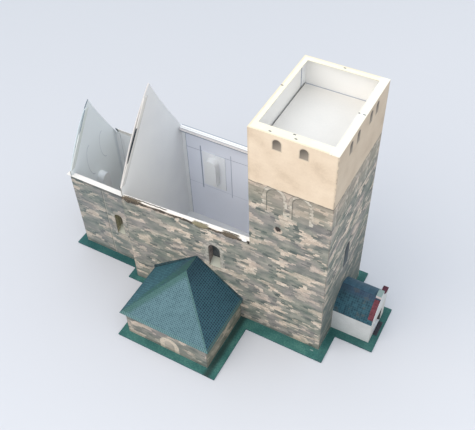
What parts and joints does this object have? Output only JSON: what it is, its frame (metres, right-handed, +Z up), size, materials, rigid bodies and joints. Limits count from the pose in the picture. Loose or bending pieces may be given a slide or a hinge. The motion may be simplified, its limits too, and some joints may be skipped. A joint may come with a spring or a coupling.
{
  "type": "card model of a medieval church",
  "caption": "unfinished card model of a small medieval church with a tall tower, hip-roofed sacristy and porch, main roofs not fitted, on a base card",
  "frame": {"origin": "middle of the base card's underside", "axes": "+Z up; +X along the church from the chancel to the tower and porch; -Y towards the sacristy"},
  "size_m": [0.275, 0.15, 0.2067],
  "materials": {
    "printed_stone_card": "matt card printed with rubble stone",
    "white_card": "matt bare card",
    "printed_slate_card": "matt card printed with small slates",
    "printed_green_card": "matt card printed with grass",
    "printed_tile_card": "matt card printed dark red",
    "printed_window_card": "matt card printed dark, with stone reveals"
  },
  "bodies": {
    "root": {"base_card": "printed_green_card", "chancel_corner_tab": "white_card", "chancel_east_gable": "printed_stone_card", "chancel_east_window_box": "printed_window_card", "chancel_far_flap": "white_card", "chancel_far_wall": "printed_stone_card", "chancel_far_window_box": "printed_window_card", "chancel_gable_flap": "white_card", "chancel_near_flap": "white_card", "chancel_near_wall": "printed_stone_card", "chancel_near_window_box": "printed_window_card", "nave_corner_tab": "white_card", "nave_east_gable": "printed_stone_card", "nave_far_flap": "white_card", "nave_far_patch": "white_card", "nave_far_wall": "printed_stone_card", "nave_far_window_box_east": "printed_window_card", "nave_far_window_box_west": "printed_window_card", "nave_gable_flap": "white_card", "nave_near_wall": "printed_stone_card", "nave_near_window_box": "printed_window_card", "nave_torn_flap": "white_card", "porch_doorstep": "printed_tile_card", "porch_far_coping": "printed_tile_card", "porch_far_wall": "white_card", "porch_near_coping": "printed_tile_card", "porch_near_wall": "white_card", "porch_parapet": "white_card", "porch_roof": "printed_slate_card", "sacristy_east_wall": "printed_stone_card", "sacristy_near_wall": "printed_stone_card", "sacristy_roof": "printed_slate_card", "sacristy_roof_flap": "printed_slate_card", "sacristy_west_wall": "printed_stone_card", "tower_corner_tab": "white_card", "tower_east_flap": "white_card", "tower_east_wall": "printed_stone_card", "tower_far_flap": "white_card", "tower_far_wall": "printed_stone_card", "tower_near_flap": "white_card", "tower_near_wall": "printed_stone_card", "tower_platform": "white_card", "tower_west_flap": "white_card", "tower_west_wall": "printed_stone_card"}
  },
  "joints": []
}
